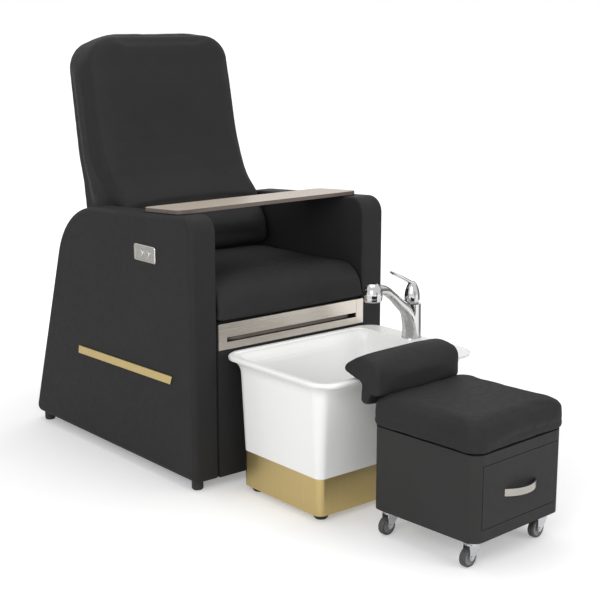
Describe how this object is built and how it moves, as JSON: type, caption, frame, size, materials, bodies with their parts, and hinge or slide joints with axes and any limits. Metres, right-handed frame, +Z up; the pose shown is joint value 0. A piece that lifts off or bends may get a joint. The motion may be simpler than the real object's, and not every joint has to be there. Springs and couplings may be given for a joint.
{
  "type": "pedicure spa chair",
  "caption": "Reclining pedicure chair with lap tray and pull-out shelf, foot tub with pull-out spray faucet, and rolling drawer stool with leg rest.",
  "frame": {"origin": "on the floor, under the middle of the whole set's bounding box", "axes": "+X to the sitter's left, +Y to the back of the chair, +Z up; the chair, tub and stool stand in a row along Y"},
  "size_m": [0.7366, 1.8192, 1.2769],
  "materials": {
    "upholstery": "matt charcoal artificial leather over foam and plywood",
    "stool_cover": "matt charcoal artificial leather over foam and board",
    "case_board": "board covered in matt charcoal artificial leather",
    "frame_wood": "bare plywood",
    "tray_laminate": "light greige laminate with a brown-grey edge",
    "champagne_metal": "brushed champagne",
    "gold_metal": "brushed, satin",
    "steel": "zinc-plated steel",
    "nickel": "brushed nickel",
    "chrome": "polished chrome",
    "black_rubber": "matt black",
    "grey_tyre": "grey, matt",
    "grey_plastic": "moulded, matt",
    "black_plastic": "moulded, matt",
    "gloss_white": "high gloss white gel coat"
  },
  "bodies": {
    "chair_and_tub": {"side_panel_left": "upholstery", "side_panel_right": "upholstery", "trim_strips": "gold_metal", "chair_feet": "black_rubber", "front_panel": "upholstery", "rear_panel": "upholstery", "base_frame": "frame_wood", "seat_deck": "frame_wood", "seat_cushion": "upholstery", "apron_plate": "champagne_metal", "shelf_guides": "black_plastic", "control_plate": "chrome", "switch_block": "black_plastic", "recline_brackets": "steel", "recline_pins": "steel", "actuator_body": "black_plastic", "tub_bowl": "gloss_white", "tub_plinth": "gold_metal", "tub_feet": "black_rubber", "drain_strainer": "chrome", "drain_pipe": "grey_plastic", "faucet_body": "chrome", "faucet_locknut": "steel"},
    "backrest": {"back_shell": "upholstery", "back_cushion": "upholstery", "lumbar_roll": "upholstery", "back_hinge_arms": "steel"},
    "actuator_ram": {"actuator_rod": "steel"},
    "lap_tray": {"tray_board": "tray_laminate", "tray_pads": "black_rubber"},
    "pull_out_shelf": {"shelf_board": "tray_laminate", "shelf_stops": "steel"},
    "recline_button": {"recline_button": "chrome"},
    "upright_button": {"upright_button": "chrome"},
    "faucet_stem": {"lever_stem": "chrome"},
    "faucet_lever": {"faucet_lever": "chrome"},
    "spray_head": {"spray_head": "chrome", "spray_hose": "grey_plastic"},
    "stool": {"stool_case": "case_board", "stool_cushion": "stool_cover", "leg_rest_pad": "stool_cover", "leg_rest_bracket": "steel", "drawer_runners": "steel", "caster_plates": "steel"},
    "stool_drawer": {"drawer_box": "frame_wood", "drawer_front": "case_board", "drawer_handle": "nickel", "drawer_slides": "steel"},
    "caster_front_left": {"caster_fork_front_left": "steel"},
    "wheel_front_left": {"caster_hub_front_left": "grey_plastic", "caster_tyre_front_left": "grey_tyre"},
    "caster_front_right": {"caster_fork_front_right": "steel"},
    "wheel_front_right": {"caster_hub_front_right": "grey_plastic", "caster_tyre_front_right": "grey_tyre"},
    "caster_rear_left": {"caster_fork_rear_left": "steel"},
    "wheel_rear_left": {"caster_hub_rear_left": "grey_plastic", "caster_tyre_rear_left": "grey_tyre"},
    "caster_rear_right": {"caster_fork_rear_right": "steel"},
    "wheel_rear_right": {"caster_hub_rear_right": "grey_plastic", "caster_tyre_rear_right": "grey_tyre"}
  },
  "joints": [
    {"name": "backrest_recline", "type": "hinge", "parent": "chair_and_tub", "child": "backrest", "pos_m": [0.00075, 0.63121, 0.545], "axis": [-1, 0, 0], "range_deg": [0, 30]},
    {"name": "actuator_stroke", "type": "slide", "parent": "chair_and_tub", "child": "actuator_ram", "axis": [0, -1, 0], "range_m": [0, 0.05953]},
    {"name": "tray_lift", "type": "slide", "parent": "chair_and_tub", "child": "lap_tray", "axis": [0, 0, 1], "range_m": [0, 0.25]},
    {"name": "shelf_pull", "type": "slide", "parent": "chair_and_tub", "child": "pull_out_shelf", "axis": [0, -1, 0], "range_m": [0, 0.259]},
    {"name": "recline_press", "type": "slide", "parent": "chair_and_tub", "child": "recline_button", "axis": [1, 0, 0], "range_m": [0, 0.003], "stiffness_N_per_m": 400, "springref_m": -0.001},
    {"name": "upright_press", "type": "slide", "parent": "chair_and_tub", "child": "upright_button", "axis": [1, 0, 0], "range_m": [0, 0.003], "stiffness_N_per_m": 400, "springref_m": -0.001},
    {"name": "lever_turn", "type": "hinge", "parent": "chair_and_tub", "child": "faucet_stem", "pos_m": [0.27675, -0.23629, 0.505], "axis": [0, 0, 1], "range_deg": [-45, 45]},
    {"name": "lever_lift", "type": "hinge", "parent": "faucet_stem", "child": "faucet_lever", "pos_m": [0.27675, -0.23629, 0.518], "axis": [0, 1, 0], "range_deg": [0, 22]},
    {"name": "spray_pull", "type": "slide", "parent": "chair_and_tub", "child": "spray_head", "axis": [-0.809, 0, 0.5878], "range_m": [0, 0.06]},
    {"name": "stool_roll", "type": "slide", "parent": "chair_and_tub", "child": "stool", "axis": [0, -1, 0], "range_m": [0, 0.6]},
    {"name": "drawer_pull", "type": "slide", "parent": "stool", "child": "stool_drawer", "axis": [0.0523, -0.9986, 0], "range_m": [0, 0.23]},
    {"name": "swivel_front_left", "type": "hinge", "parent": "stool", "child": "caster_front_left", "pos_m": [-0.11084, -0.85377, 0.059], "axis": [0, 0, 1], "continuous": true},
    {"name": "roll_front_left", "type": "hinge", "parent": "caster_front_left", "child": "wheel_front_left", "pos_m": [-0.12682, -0.85461, 0.025], "axis": [-0.0523, 0.9986, 0], "continuous": true},
    {"name": "swivel_front_right", "type": "hinge", "parent": "stool", "child": "caster_front_right", "pos_m": [0.16279, -0.83943, 0.059], "axis": [0, 0, 1], "continuous": true},
    {"name": "roll_front_right", "type": "hinge", "parent": "caster_front_right", "child": "wheel_front_right", "pos_m": [0.14681, -0.84027, 0.025], "axis": [-0.0523, 0.9986, 0], "continuous": true},
    {"name": "swivel_rear_left", "type": "hinge", "parent": "stool", "child": "caster_rear_left", "pos_m": [-0.12529, -0.57815, 0.059], "axis": [0, 0, 1], "continuous": true},
    {"name": "roll_rear_left", "type": "hinge", "parent": "caster_rear_left", "child": "wheel_rear_left", "pos_m": [-0.14126, -0.57898, 0.025], "axis": [-0.0523, 0.9986, 0], "continuous": true},
    {"name": "swivel_rear_right", "type": "hinge", "parent": "stool", "child": "caster_rear_right", "pos_m": [0.14834, -0.56381, 0.059], "axis": [0, 0, 1], "continuous": true},
    {"name": "roll_rear_right", "type": "hinge", "parent": "caster_rear_right", "child": "wheel_rear_right", "pos_m": [0.13236, -0.56464, 0.025], "axis": [-0.0523, 0.9986, 0], "continuous": true}
  ],
  "couplings": [
    {"joint": "actuator_stroke", "follows": "backrest_recline", "m_per_rad": 0.11369}
  ]
}
